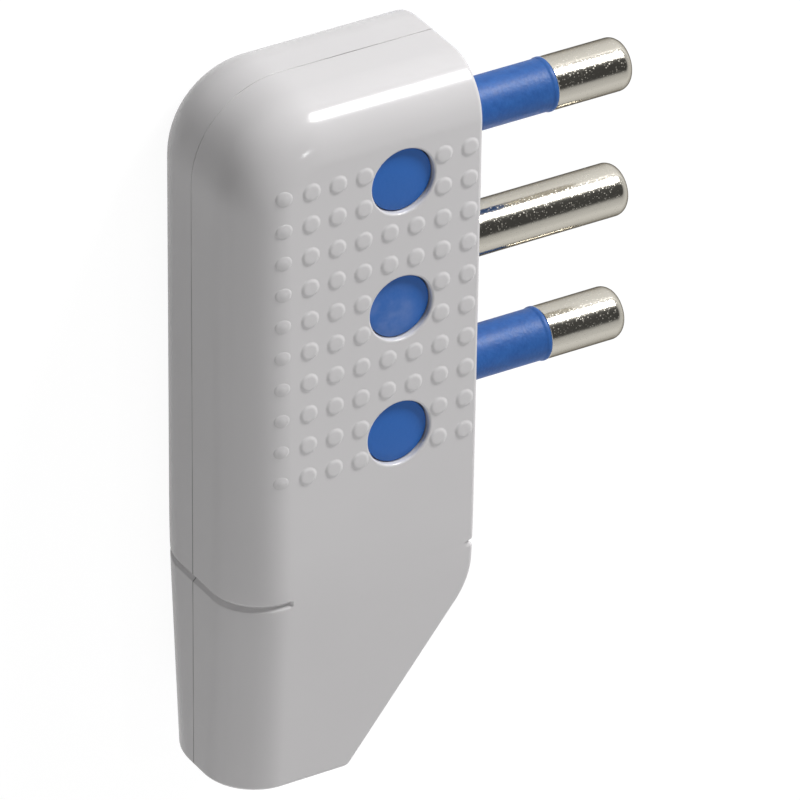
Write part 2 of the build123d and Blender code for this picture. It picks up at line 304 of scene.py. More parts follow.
def is_back(face):
    """Upright faces of the back, the closed end and the corner between them."""
    n = face.normal
    return abs(n.z) < UPRIGHT and (n.x < -SIDEWAYS or n.y > SIDEWAYS)


# %% Raising, slicing and rounding


def raise_sheet(bm, points, lift):
    """Fills a ring of points and raises it to a block along a vector."""
    sheet = bm.faces.new([bm.verts.new(p) for p in points])
    raised = bmesh.ops.extrude_face_region(bm, geom=[sheet], use_keep_orig=True)
    top = [g for g in raised["geom"] if isinstance(g, bmesh.types.BMVert)]
    bmesh.ops.translate(bm, verts=top, vec=lift)


def slice_across(bm, place, direction):
    """Cuts every face along a plane and takes nothing off."""
    everything = bm.verts[:] + bm.edges[:] + bm.faces[:]
    bmesh.ops.bisect_plane(bm, geom=everything, plane_co=place, plane_no=direction)


def bevel(bm, edges, size, segments):
    """Rounds the given edges."""
    bmesh.ops.bevel(
        bm,
        geom=edges,
        offset=size,
        offset_type="OFFSET",
        affect="EDGES",
        segments=segments,
        profile=0.5,
        clamp_overlap=False,
        material=-1,
    )
    bm.normal_update()


# %% Block with its large round
CORNER_ROUND = 8.8
SLOPE_ROUND = 8.0
FOOT_ROUND = 0.9
EDGE_ROUND = 5.2
REAR_EDGE_ROUND = 6.0
SEAM_GAP = 0.02
ROOM_FOOT = -1.0
TAPER_CUTS = 4


def half_block(inset, foot_extra, edge_round, steps, edge_segments):
    """Front half of the body with its faces moved in, its large round done."""
    corners = inset_corners(body_corners, inset)
    if foot_extra:
        cable_end = corners[2].y + foot_extra
        slant = (corners[4] - corners[3]).normalized()
        corners[3] = corners[3] + slant * (foot_extra / slant.y)
        corners[2] = Vector((corners[2].x, cable_end))
    radii = [0, CORNER_ROUND - inset, 0, max(FOOT_ROUND - inset, 0), SLOPE_ROUND - inset]
    bm = bmesh.new()
    foot = ROOM_FOOT if inset else SEAM_GAP
    ring = [(p.x, p.y, foot) for p in rounded_outline(corners, radii, steps)]
    raise_sheet(bm, ring, (0, 0, HALF - inset - foot))
    for step in range(-TAPER_CUTS, TAPER_CUTS + 1):
        slice_across(bm, (0, TAPER_START + TAPER_BLEND * step / TAPER_CUTS, 0), (0, 1, 0))
    for vert in bm.verts:
        if vert.co.z > HALF / 2:
            vert.co.z -= taper_drop(vert.co.y)
    bmesh.ops.recalc_face_normals(bm, faces=bm.faces[:])
    bm.normal_update()
    long_edges = []
    for edge in bm.edges:
        if len(edge.link_faces) == 2:
            up = [f for f in edge.link_faces if f.normal.z > FACING]
            if len(up) == 1 and any(is_back(f) for f in edge.link_faces):
                long_edges.append(edge)
    bevel(bm, long_edges, edge_round - inset, edge_segments)
    return bm


# %% Rims and seam edge
RIM_ROUND = 0.45
SEAM_ROUND = 0.03
SAME_LEVEL = 0.001


def on_seam(edge):
    """Whether an edge lies at the level where the half stops."""
    return all(abs(v.co.z - SEAM_GAP) < SAME_LEVEL for v in edge.verts)


def round_rims(bm):
    """Breaks the edges of the pin side, slanted corner, cable end and seam."""
    rims = []
    for edge in bm.edges:
        kinds = [is_rim(f) for f in edge.link_faces]
        if len(kinds) == 2 and kinds[0] != kinds[1] and not on_seam(edge):
            rims.append(edge)
    bevel(bm, rims, RIM_ROUND, segments=5)
    seam = []
    for edge in bm.edges:
        below = sum(f.normal.z < -FACING for f in edge.link_faces)
        if below == 1 and on_seam(edge):
            seam.append(edge)
    bevel(bm, seam, SEAM_ROUND, segments=3)


print("rims of", RIM_ROUND, "mm, seam open by", 2 * SEAM_GAP, "mm")

# %% [markdown]
# ### The ring groove
#
# A soft groove marks where the thinner tail begins. In the mould it is a thin ridge that runs round
# the back and ends in a nick on the pin side. Here a few parallel cuts are laid across the block and
# the points between them are pushed in, most in the middle, so that both shoulders stay soft.

# %% Groove
GROOVE_PINS = Vector((PIN_SIDE, -27.0, 0))
GROOVE_BACK = Vector((BACK_TOP, -28.0, 0))
GROOVE_HALF_WIDTH = 0.46
GROOVE_DEPTH = 0.34
GROOVE_CUTS = (-1, -0.8, -0.6, -0.3, 0, 0.3, 0.6, 0.8, 1)
INNER_CUTS = 0.99
BACK_REACH = 6.1
BACK_FADE = 0.25
NICK_REACH = 0.95
NICK_FADE = 0.5
NICK_CUT = 1.0
NEAR_SEAM = 0.4
groove_along = (GROOVE_BACK - GROOVE_PINS).normalized()
groove_across = Vector((groove_along.y, -groove_along.x, 0))
groove_ends = (BACK_TOP + BACK_REACH - BACK_FADE, BACK_TOP + BACK_REACH, PIN_SIDE - NICK_CUT)
print("groove", round((GROOVE_BACK - GROOVE_PINS).length, 2), "mm across the face")


def groove_share(point):
    """How much of the groove's depth reaches a place along the groove."""
    at_back = (BACK_REACH - (point.x - BACK_TOP)) / BACK_FADE
    at_pins = (NICK_REACH - (PIN_SIDE - point.x)) / NICK_FADE
    return min(max(at_back, at_pins, 0), 1)


def carve_groove(bm):
    """Presses the groove into a half block."""
    for step in GROOVE_CUTS:
        slice_across(bm, GROOVE_PINS + groove_across * (step * GROOVE_HALF_WIDTH), groove_across)
    bm.normal_update()
    for end in groove_ends:
        band = []
        for face in bm.faces:
            middle = face.calc_center_median() - GROOVE_PINS
            if face.normal.z > FACING and abs(middle.dot(groove_across)) < GROOVE_HALF_WIDTH:
                band.append(face)
        around = unique(v for f in band for v in f.verts) + unique(e for f in band for e in f.edges)
        bmesh.ops.bisect_plane(bm, geom=around + band, plane_co=(end, 0, 0), plane_no=(1, 0, 0))
    bm.normal_update()
    for vert in bm.verts:
        across = (vert.co - GROOVE_PINS).dot(groove_across) / GROOVE_HALF_WIDTH
        if abs(across) < INNER_CUTS:
            inward = -vert.normal
            if vert.co.z < NEAR_SEAM:
                inward = Vector((inward.x, inward.y, 0)).normalized()
            depth = GROOVE_DEPTH * math.cos(across * math.pi / 2) ** 2
            vert.co += inward * (depth * groove_share(vert.co))


# %% [markdown]
# ### Windows
#
# Three round windows go into the flat of the front shell. A mould core makes them, and its edge is
# rounded, so each window has a soft lip. Here the lip and the straight wall are spun as one section,
# and the flat is filled again round their rims.

# %% Windows
PINS = {"line": 13.0, "earth": 0.0, "neutral": -13.0}
WINDOW_X = -9.0
WINDOW_RADIUS = 3.2
WINDOW_LIP = 0.22
WINDOW_FLOOR = HALF - 2.6
LEVEL_FACE = 0.9999
FINE_TURN = 72


def window_section():
    """Lip, wall and floor of one window, from the outer rim to the middle."""
    section = []
    for down, out in quarter_round(steps=6):
        section.append((HALF - WINDOW_LIP * down, WINDOW_RADIUS + WINDOW_LIP * out))
    return section + [(WINDOW_FLOOR, WINDOW_RADIUS), (WINDOW_FLOOR, 0)]


def sink_windows(bm):
    """Opens the flat of the front face and fills it again round the windows."""
    flat = max((f for f in bm.faces if f.normal.z > LEVEL_FACE), key=lambda f: f.calc_area())
    rims = list(flat.edges)
    bmesh.ops.delete(bm, geom=[flat], context="FACES_ONLY")
    for y in PINS.values():
        made = turn(bm, window_section(), (WINDOW_X, y, 0), (0, 0, 1), FINE_TURN)
        rims += [e for e in unique(e for f in made for e in f.edges) if len(e.link_faces) == 1]
    bmesh.ops.triangle_fill(bm, use_beauty=True, edges=rims, normal=(0, 0, 1))
    bmesh.ops.recalc_face_normals(bm, faces=bm.faces[:])


print("windows", len(PINS), "each", 2 * WINDOW_RADIUS, "mm wide")

# %% [markdown]
# ### Openings
#
# Both shells share a slot for the blue face plate and a round bore for the cord. Inside they are
# hollow, with round posts for the screws. From behind, two recesses with a broken edge let the
# screw heads in; the upper one reaches into the rounding, so it is cut out of the finished shell.

# %% Slot, bore and recesses
WALL = 1.8
SLOT_HALF_LENGTH = 18.12
SLOT_HALF_HEIGHT = 4.92
SLOT_ROUND = 3.12
SLOT_START = PIN_SIDE - WALL - 0.4
SLOT_DEPTH = 6.0
BORE_X = (SLOPE_FOOT + BACK_FOOT) / 2
BORE_RADIUS = 4.2
BORE_START = -42.0
BORE_MOUTH = -48.0
BORE_FLARE = 0.7
RECESS_RADIUS = 2.75
RECESS_FLOOR = HALF - 2.7
RECESS_MOUTH = HALF - 0.15
RECESS_FLARE = 1.0
SCREWS = ((-18.41, 15.4), (PIN_SIDE - 5.35, -24.0))
print("cord bore at x", round(BORE_X, 2), "screws at", [(round(x, 2), y) for x, y in SCREWS])


def flared_hole(start, mouth, radius, flare):
    """Section of a round hole that widens at 45 degrees from its mouth outwards."""
    end = mouth + math.copysign(flare, mouth - start)
    return [(start, 0), (start, radius), (mouth, radius), (end, radius + flare), (end, 0)]


def shared_openings():
    """Slot of the face plate and bore of the cord."""
    bm = bmesh.new()
    signs = ((1, 1), (-1, 1), (-1, -1), (1, -1))
    corners = [Vector((SLOT_HALF_LENGTH * a, SLOT_HALF_HEIGHT * b)) for a, b in signs]
    slot = rounded_outline(corners, [SLOT_ROUND] * 4, steps=8)
    raise_sheet(bm, [(SLOT_START, p.x, p.y) for p in slot], (SLOT_DEPTH, 0, 0))
    bmesh.ops.recalc_face_normals(bm, faces=bm.faces[:])
    bore = flared_hole(BORE_START, BORE_MOUTH, BORE_RADIUS, BORE_FLARE)
    turn(bm, bore, (BORE_X, 0, 0), (0, 1, 0), FINE_TURN)
    return piece_from(bm, "openings")


def screw_recesses():
    """Round recesses for the two screw heads, wider at the mouth."""
    bm = bmesh.new()
    section = flared_hole(RECESS_FLOOR, RECESS_MOUTH, RECESS_RADIUS, RECESS_FLARE)
    for x, y in SCREWS:
        turn(bm, section, (x, y, 0), (0, 0, 1), FINE_TURN)
    return piece_from(bm, "recesses")


# %% Room and posts
COLLAR = 5.0
CLAMP_SCREWS = ((-19.947, -31.0), (-7.35, -31.0))
POST_FOOT = -1.0
POST_TOP = 9.0


def posts(places, radius):
    """Round posts that stay in the hollow."""
    bm = bmesh.new()
    section = [(POST_FOOT, 0), (POST_FOOT, radius), (POST_TOP, radius), (POST_TOP, 0)]
    for x, y in places:
        turn(bm, section, (x, y, 0), (0, 0, 1), steps=40)
    return piece_from(bm, "posts")


def hollow(post_places, post_radius, edge_round):
    """Inside of a shell, less its posts."""
    room = piece_from(half_block(WALL, COLLAR - WALL, edge_round, steps=8, edge_segments=10), "room")
    cut_away(room, posts(post_places, post_radius))
    return room


# %% [markdown]
# ### Grip dots
#
# Low round pads give the fingers a hold when the plug is pulled. They are part of the front shell,
# so they blend into it: the pad's section is flat on top and runs out level at its foot. The column
# nearest the back sits where the face begins to round. It leans with the face, and because its
# section is still drawn level, its pads come out slightly domed.

# %% Grip dots
DOT_RADIUS = 0.98
DOT_HEIGHT = 0.14
DOT_ROWS = 10
DOT_COLUMNS = 8
DOT_FRONT = -2.25
DOT_PITCH = 2.7004
DOT_ROW_PITCH = 3.25
DOT_TO_WINDOW = 4.05
DOT_SECTION = ((0.0, -1.0), (1.0, -1.0), (1.0, -0.06), (0.97, 0.0), (0.92, 0.08), (0.86, 0.26))
DOT_SECTION += ((0.8, 0.52), (0.73, 0.77), (0.65, 0.92), (0.55, 0.985), (0.3, 1.0), (0.0, 1.0))
dot_profile = [(DOT_HEIGHT * h, DOT_RADIUS * r) for r, h in DOT_SECTION]
corner_middle = Vector((BACK_TOP + CORNER_ROUND, BODY_TOP - CORNER_ROUND))
print("dot grid", DOT_COLUMNS, "by", DOT_ROWS, "less those over a window")


def dot_seat(x, y):
    """Where a pad stands on the face or its rounding, and which way it looks."""
    back = BACK_TOP + (BODY_TOP - y) / (BODY_TOP - BODY_FOOT) * (BACK_FOOT - BACK_TOP)
    over = back + EDGE_ROUND - x
    outward = Vector((-1, 0))
    from_corner = Vector((x, y)) - corner_middle
    if from_corner.x < 0 < from_corner.y:
        over = from_corner.length - (CORNER_ROUND - EDGE_ROUND)
        outward = from_corner.normalized()
    lean = math.asin(max(over, 0) / EDGE_ROUND)
    low = EDGE_ROUND * (1 - math.cos(lean))
    return (x, y, HALF - low), (*(outward * math.sin(lean)), math.cos(lean))


def add_dots(bm):
    """Lays the pads on the front face, leaving out those over a window."""
    count = 0
    for column in range(DOT_COLUMNS):
        for row in range(DOT_ROWS):
            x = DOT_FRONT - column * DOT_PITCH
            y = ((DOT_ROWS - 1) / 2 - row) * DOT_ROW_PITCH
            if any(math.dist((x, y), (WINDOW_X, w)) < DOT_TO_WINDOW for w in PINS.values()):
                continue
            place, up = dot_seat(x, y)
            turn(bm, dot_profile, place, up, steps=24)
            count += 1
    return count


# %% [markdown]
# ### Putting a shell together
#
# The order follows the mould: first the outer form, then what is sunk into its face, then the room
# inside, and last the dots, which lie on the finished face. The rear shell is made on the front side
# and turned over by a negative scale, so its faces are reversed afterwards.

# %% One shell
CLEAN_DISTANCE = 0.001
FLATS = [
    (0, 0, 1),
    (0, 0, -1),
    (0, -taper_slope, 1),
    (1, 0, 0),
    (0, -1, 0),
    (0, 1, 0),
    (BODY_FOOT - BODY_TOP, BACK_TOP - BACK_FOOT, 0),
    (SLOPE_START - BODY_FOOT, SLOPE_FOOT - PIN_SIDE, 0),
]


def shell_piece(name, is_front, post_places, post_radius, edge_round):
    """One half shell: block, rims, groove, hollow, openings and its own face."""
    bm = half_block(0, 0, edge_round, steps=14, edge_segments=18)
    round_rims(bm)
    carve_groove(bm)
    if is_front:
        sink_windows(bm)
    piece = piece_from(bm, name)
    cut_away(piece, hollow(post_places, post_radius, edge_round))
    cut_away(piece, shared_openings())
    if not is_front:
        cut_away(piece, screw_recesses())
    bm = bmesh.new()
    bm.from_mesh(piece.data)
    resize(bm, 1 / MM)
    bmesh.ops.remove_doubles(bm, verts=bm.verts[:], dist=CLEAN_DISTANCE)
    bmesh.ops.dissolve_degenerate(bm, edges=bm.edges[:], dist=CLEAN_DISTANCE)
    flats = FLATS
    if is_front:
        print("grip dots", add_dots(bm))
    else:
        bmesh.ops.scale(bm, vec=(1, 1, -1), verts=bm.verts[:])
        bmesh.ops.reverse_faces(bm, faces=bm.faces[:])
        flats = [(x, y, -z) for x, y, z in FLATS]
    resize(bm, MM)
    bm.to_mesh(piece.data)
    bm.free()
    soft_normals(piece, flats)
    print(name, "faces", len(piece.data.polygons))
    return piece


# %% Both shells
FRONT_POST = 2.4
REAR_POST = 3.7
front_shell = shell_piece("front_shell_moulded", True, SCREWS + CLAMP_SCREWS, FRONT_POST, EDGE_ROUND)
rear_shell = shell_piece("rear_shell_moulded", False, SCREWS, REAR_POST, REAR_EDGE_ROUND)

# %% [markdown]
# ## Pins and sleeves
#
# A pin is a turned brass rod with a rounded tip, nickel plated, on a small terminal block. The two
# outer pins carry a blue sleeve over their inner half, so that no live metal can be touched while
# the plug is half drawn. All of them are spun from a section.

# %% Pins
PIN_LENGTH = 19.0
PIN_RADIUS = 2.5
PIN_TURN = 96
TIP_ROUND = 1.2
ROOT_RADIUS = 2.8
ROOT_START = -4.89
CORE_RADIUS = 1.8
SLEEVE_LENGTH = 10.8
METAL_EDGE = 0.08
BLOCK_BACK = -12.89
BLOCK_WIDTH = 6.4
BLOCK_HEIGHT = 7.0
BLOCK_EDGE = 0.3
SHARP_ANGLE = math.radians(35)


def smooth_piece(piece):
    """Smooth shading that stops at sharp edges."""
    piece.data.shade_smooth()
    piece.data.set_sharp_from_angle(angle=SHARP_ANGLE)
    return piece


def pin_piece(name, y, sleeved):
    """Turned pin with its terminal block."""
    section = [(ROOT_START, 0), (ROOT_START, ROOT_RADIUS), (0, ROOT_RADIUS), (0, PIN_RADIUS)]
    if sleeved:
        section = [(ROOT_START, 0), (ROOT_START, CORE_RADIUS), (SLEEVE_LENGTH, CORE_RADIUS)]
        section.append((SLEEVE_LENGTH, PIN_RADIUS - METAL_EDGE))
        section.append((SLEEVE_LENGTH + METAL_EDGE, PIN_RADIUS))
    for inward, back in quarter_round(steps=12):
        section.append((PIN_LENGTH - TIP_ROUND * back, PIN_RADIUS - TIP_ROUND * inward))
    section.append((PIN_LENGTH, 0))
    bm = bmesh.new()
    turn(bm, section, (0, y, 0), (1, 0, 0), PIN_TURN)
    middle = Matrix.Translation(((ROOT_START + BLOCK_BACK) / 2, y, 0))
    size = Matrix.Diagonal((ROOT_START - BLOCK_BACK, BLOCK_WIDTH, BLOCK_HEIGHT, 1))
    block = bmesh.ops.create_cube(bm, size=1, matrix=middle @ size)
    bevel(bm, unique(e for v in block["verts"] for e in v.link_edges), BLOCK_EDGE, segments=2)
    return smooth_piece(piece_from(bm, name))


pins = {name: pin_piece(f"{name}_pin_turned", y, name != "earth") for name, y in PINS.items()}
print("pins", list(pins))

# %% Sleeves
SLEEVE_RADIUS = 2.46
SLEEVE_BORE = CORE_RADIUS + 0.03
SLEEVE_END = SLEEVE_RADIUS - 0.04
LIP_START = 10.2
LIP_SECTION = ((0.12, 0.02), (0.2, 0.06), (0.28, 0.09), (0.42, 0.1), (0.52, 0.09), (0.58, 0.05))


def sleeve_piece(name, y):
    """Moulded sleeve with a soft lip where the bare metal begins."""
    section = [(ROOT_START, SLEEVE_BORE), (ROOT_START, ROOT_RADIUS), (0, ROOT_RADIUS)]
    section += [(0, SLEEVE_RADIUS), (LIP_START, SLEEVE_RADIUS)]
    section += [(LIP_START + past, SLEEVE_RADIUS + lift) for past, lift in LIP_SECTION]
    section += [(SLEEVE_LENGTH, SLEEVE_END), (SLEEVE_LENGTH, SLEEVE_BORE)]
    bm = bmesh.new()
    turn(bm, section + section[:1], (0, y, 0), (1, 0, 0), PIN_TURN)
    return smooth_piece(piece_from(bm, name))


sleeves = {name: sleeve_piece(f"{name}_sleeve_moulded", PINS[name]) for name in ("line", "neutral")}
print("sleeves", list(sleeves))

# %% [markdown]
# ## The carrier's bosses
#
# The blue carrier keeps its measured form. Only the three discs that fill the windows are touched:
# they grow a little, to leave the hair-wide gap that a window has round its disc, and their upper
# edge gets the small round of a moulded boss. A copy of the measured mesh is merged first, because
# its triangles are loose. It stays in metres, as it was measured.

# %% Carrier
BOSS_FOOT = 7.0 * MM
BOSS_CAP = 8.05 * MM
BOSS_GROWTH = 1.033
BOSS_EDGE = 0.12 * MM
CAP_FACING = 0.999
boss_x = WINDOW_X * MM
boss_rows = [y * MM for y in PINS.values()]

carrier_bm = bmesh.new()
carrier_bm.from_mesh(nodes["pin_carrier"].data)
bmesh.ops.remove_doubles(carrier_bm, verts=carrier_bm.verts[:], dist=CLEAN_DISTANCE * MM)
carrier_bm.normal_update()
for vert in carrier_bm.verts:
    if vert.co.z > BOSS_FOOT:
        boss_y = min(boss_rows, key=lambda y: abs(vert.co.y - y))
        vert.co.x = boss_x + (vert.co.x - boss_x) * BOSS_GROWTH
        vert.co.y = boss_y + (vert.co.y - boss_y) * BOSS_GROWTH
caps = []
for face in carrier_bm.faces:
    if face.normal.z > CAP_FACING and face.calc_center_median().z > BOSS_CAP:
        caps.append(face)
caps = bmesh.ops.dissolve_faces(carrier_bm, faces=caps)["region"]
print("window bosses", len(caps))
bevel(carrier_bm, [e for f in caps for e in f.edges], BOSS_EDGE, segments=4)
carrier = smooth_piece(piece_from(carrier_bm, "pin_carrier_moulded", unit=1))

# %% [markdown]
# ## The camera
#
# A long lens far away keeps the plug's parallel edges nearly parallel, as in the picture. The
# three angles and the offset were solved from the even grid of grip dots and from the pins, so the
# picture's frame needs no lens shift.

# %% Camera
VIEW_TURN = math.radians(31.57)
VIEW_RISE = math.radians(31.61)
VIEW_ROLL = math.radians(-1.08)
VIEW_DISTANCE = 964 * MM
VIEW_OFFSET = Vector((4.12, 14.56, 0)) * MM
VIEW_ORIGIN = Vector((0.8, 0, 0)) * MM
LENS_MM = 485.0

view_right = Vector((math.cos(VIEW_TURN), 0, math.sin(VIEW_TURN)))
view_back = Vector(
    (
        -math.sin(VIEW_TURN) * math.cos(VIEW_RISE),
        math.sin(VIEW_RISE),
        math.cos(VIEW_TURN) * math.cos(VIEW_RISE),
    )
)
view_up = view_back.cross(view_right)
view_axes = Matrix((view_right, view_up, view_back)).transposed().to_4x4()
view_axes = view_axes @ Matrix.Rotation(-VIEW_ROLL, 4, "Z")

camera_data = bpy.data.cameras.new("camera")
camera_data.lens = LENS_MM
camera_data.sensor_width = 36.0
camera_data.clip_start = 0.05
camera_data.clip_end = 20.0
camera = bpy.data.objects.new("camera", camera_data)
scene.collection.objects.link(camera)
camera_place = VIEW_ORIGIN + view_axes.to_3x3() @ (Vector((0, 0, VIEW_DISTANCE)) - VIEW_OFFSET)
camera.matrix_world = Matrix.Translation(camera_place) @ view_axes
scene.camera = camera
print("camera at", [round(v / MM, 1) for v in camera.matrix_world.translation])

# %% [markdown]
# ## Node trees
#
# The table, the room and all finishes are node trees. They could be wired by hand in the editor. In
# a script, a few small helpers keep the wiring readable: each makes one node, gives it its values
# and links what feeds it.

# %% Node helpers
WHITE = (1, 1, 1, 1)


def add_node(tree, kind, values=None, **settings):
    """New node with its own settings, and with values for its inputs."""
    made = tree.nodes.new(kind)
    for setting, choice in settings.items():
        setattr(made, setting, choice)
    for socket, value in (values or {}).items():
        made.inputs[socket].default_value = value
    return made


def feed(tree, node, *sources):
    """Links the sources to the first inputs of a node."""
    for socket, source in zip(node.inputs, sources):
        tree.links.new(source, socket)
    return node


def reckon(tree, operation, *sources):
    """One step of arithmetic."""
    return feed(tree, add_node(tree, "ShaderNodeMath", operation=operation), *sources).outputs[0]


def map_range(tree, source, span, result=(0, 1), smooth=False):
    """Maps the span of a value onto another, in a straight line or with eased ends."""
    ends = {"From Min": span[0], "From Max": span[1], "To Min": result[0], "To Max": result[1]}
    easing = "SMOOTHSTEP" if smooth else "LINEAR"
    node = add_node(tree, "ShaderNodeMapRange", ends, interpolation_type=easing)
    return feed(tree, node, source).outputs["Result"]


def mix_shaders(tree, mask, otherwise, chosen):
    """One shader where the mask is 0, another where it is 1."""
    return feed(tree, add_node(tree, "ShaderNodeMixShader"), mask, otherwise, chosen).outputs[0]


# %% [markdown]
# ## The table
#
# The table is a large pale sheet just under the rear shell. The camera sees it nearly white by its
# own glow, with a little of its shading left, so the plug keeps a faint contact shadow. Mirrors see
# it pale too, but with most of its shade, which draws a darker rim where the plug meets the table.
# What it throws back on the plug is set apart from both: its grey is painted darker towards the
# closed end, a painted shade, so a little more comes back near the cable end than near the closed
# end, because the plug's side is brighter there.

# %% Table
TABLE_REACH = 3.0
table_level = cad_low.z - 0.02 * MM

table_mesh = bpy.data.meshes.new("table")
table = bpy.data.objects.new("table", table_mesh)
scene.collection.objects.link(table)
table_bm = bmesh.new()
bmesh.ops.create_grid(table_bm, x_segments=1, y_segments=1, size=TABLE_REACH)
bmesh.ops.translate(table_bm, verts=table_bm.verts[:], vec=(0, 0, table_level))
table_bm.to_mesh(table_mesh)
table_bm.free()
print("table at z in mm", round(table_level / MM, 2))

# %% Table paint
# Painted shade on the table: its grey runs from light at the cable end to dark at the closed end.
PAINTED_SHADE_SPAN = (-60 * MM, 30 * MM)
PAINTED_SHADE_LEVELS = (0.84, 0.43)


def glowing(tree, level, strength):
    """Matt grey that also glows white."""
    matt = add_node(tree, "ShaderNodeBsdfDiffuse", {"Color": (level, level, level, 1)})
    glow = add_node(tree, "ShaderNodeEmission", {"Color": WHITE, "Strength": strength})
    return feed(tree, add_node(tree, "ShaderNodeAddShader"), matt.outputs[0], glow.outputs[0]).outputs[0]


table_paint = bpy.data.materials.new("table_paint")
table_paint.use_nodes = True
tree = table_paint.node_tree
tree.nodes.clear()
place = add_node(tree, "ShaderNodeTexCoord").outputs["Object"]
split = feed(tree, add_node(tree, "ShaderNodeSeparateXYZ"), place)
# The sheet's grey is painted darker towards the closed end, a painted shade that lowers what it throws
# back there.
shade = map_range(tree, split.outputs["Y"], PAINTED_SHADE_SPAN, PAINTED_SHADE_LEVELS)
sheet = feed(tree, add_node(tree, "ShaderNodeBsdfDiffuse"), shade)
ray = add_node(tree, "ShaderNodeLightPath").outputs
bounced = reckon(tree, "MAXIMUM", ray["Is Glossy Ray"], ray["Is Transmission Ray"])
lit = mix_shaders(tree, bounced, sheet.outputs[0], glowing(tree, level=0.9, strength=0.32))
seen = mix_shaders(tree, ray["Is Camera Ray"], lit, glowing(tree, level=0.16, strength=0.93))
feed(tree, add_node(tree, "ShaderNodeOutputMaterial"), seen)
table_mesh.materials.append(table_paint)
print("table paint nodes", len(tree.nodes))

# %% [markdown]
# ## The surroundings
#
# A studio is bright at its walls and dark where nothing stands. An even grey light reaches all
# sides of the plug. In mirrors, such as the pins, the room is pale low down and fades to a dark
# patch above the camera's side, which draws the dark band along each pin. Seen straight, it is
# white.

# %% Sky
EVEN_LIGHT = 0.2
DARK_PATCH = (0.446, 0.325, 0.834)
ROOM_STOPS = ((0.42, 0.88), (0.6, 0.74), (0.76, 0.66), (0.86, 0.5), (0.92, 0.065))

world = bpy.data.worlds.new("studio")
scene.world = world
world.use_nodes = True
tree = world.node_tree
even = tree.nodes["Background"]
even.inputs["Color"].default_value = WHITE
even.inputs["Strength"].default_value = EVEN_LIGHT
toward = add_node(tree, "ShaderNodeTexCoord").outputs["Generated"]
nearness = add_node(tree, "ShaderNodeVectorMath", {1: DARK_PATCH}, operation="DOT_PRODUCT")
feed(tree, nearness, toward)
fall = feed(tree, add_node(tree, "ShaderNodeValToRGB"), nearness.outputs["Value"])
stops = fall.color_ramp.elements
while len(stops) < len(ROOM_STOPS):
    stops.new(0.5)
for stop, (position, level) in zip(stops, ROOM_STOPS):
    stop.position = position
    stop.color = (level, level, level, 1)
room = feed(tree, add_node(tree, "ShaderNodeBackground"), fall.outputs["Color"])
ray = add_node(tree, "ShaderNodeLightPath").outputs
lit = mix_shaders(tree, ray["Is Glossy Ray"], even.outputs[0], room.outputs[0])
backdrop = add_node(tree, "ShaderNodeBackground", {"Color": WHITE})
straight = reckon(tree, "MAXIMUM", ray["Is Camera Ray"], ray["Is Transmission Ray"])
whole = mix_shaders(tree, straight, lit, backdrop.outputs[0])
feed(tree, tree.nodes["World Output"], whole)
print("room levels from far to near the dark patch", [level for _, level in ROOM_STOPS])

# %% [markdown]
# ## The lamps
#
# A soft box beyond the closed end is the key: it makes the bright strip along the rounding and the
# white band on the pins. Two wide fills lift the front face and the tail. They are hidden from
# mirrors, because a lamp's square edge would show in the glossy face. A tiny lamp high up sets the
# one glint on the rounded corner.

# %% Lamps
LAMP_AIM = Vector((-8, -8, 0)) * MM


def soft_box(name, toward, distance, size, watts, in_mirrors=True):
    """A rectangular lamp that looks at the plug from the given direction."""
    lamp = bpy.data.lights.new(name, "AREA")
    lamp.shape = "RECTANGLE"
    lamp.size, lamp.size_y = size
    lamp.energy = watts
    box = bpy.data.objects.new(name, lamp)
    scene.collection.objects.link(box)
    box.location = LAMP_AIM + Vector(toward).normalized() * distance
    box.rotation_euler = Vector(toward).to_track_quat("Z", "Y").to_euler()
    box.visible_glossy = in_mirrors


soft_box("key", (0.49, 0.81, 0.325), distance=0.6, size=(0.24, 0.15), watts=3.35)
soft_box("foot_fill", (-0.2, -0.85, 0.5), distance=0.7, size=(0.3, 0.3), watts=1.4, in_mirrors=False)
soft_box("front_fill", (0.2, -0.6, 0.78), distance=0.7, size=(0.3, 0.3), watts=0.14, in_mirrors=False)
soft_box("spot", (0.171, 0.202, 0.962), distance=0.6, size=(0.03, 0.03), watts=0.12)

# %% [markdown]
# ## Finishes
#
# Every finish is a small node tree on Object coordinates. No moulded or plated surface is perfectly
# even. One shared group gives each finish a soft cloudiness and a very fine skin, at its own scale.

# %% Shared group: moulded skin
SKIN_INPUTS = {"Cloud Scale": 90, "Grain Scale": 2500, "Gloss Low": 0.25, "Gloss High": 0.35}
SKIN_OUTPUTS = ("Cloud", "Roughness", "Height")


def moulded_skin_group():
    """Cloudy gloss and fine bumps of a moulded surface."""
    group = bpy.data.node_groups.new("moulded_skin", "ShaderNodeTree")
    for label, value in SKIN_INPUTS.items():
        socket = group.interface.new_socket(label, in_out="INPUT", socket_type="NodeSocketFloat")
        socket.default_value = value
    for label in SKIN_OUTPUTS:
        group.interface.new_socket(label, in_out="OUTPUT", socket_type="NodeSocketFloat")
    given = add_node(group, "NodeGroupInput").outputs
    place = add_node(group, "ShaderNodeTexCoord").outputs["Object"]
    cloud = feed(group, add_node(group, "ShaderNodeTexNoise", {"Detail": 3}), place)
    grain = feed(group, add_node(group, "ShaderNodeTexNoise", {"Detail": 2}), place)
    spread = feed(group, add_node(group, "ShaderNodeMapRange"), cloud.outputs["Fac"])
    group.links.new(given["Cloud Scale"], cloud.inputs["Scale"])
    group.links.new(given["Grain Scale"], grain.inputs["Scale"])
    group.links.new(given["Gloss Low"], spread.inputs["To Min"])
    group.links.new(given["Gloss High"], spread.inputs["To Max"])
    results = (cloud.outputs["Fac"], spread.outputs["Result"], grain.outputs["Fac"])
    feed(group, add_node(group, "NodeGroupOutput"), *results)
    return group


moulded_skin = moulded_skin_group()
print("group sockets", [item.name for item in moulded_skin.interface.items_tree])

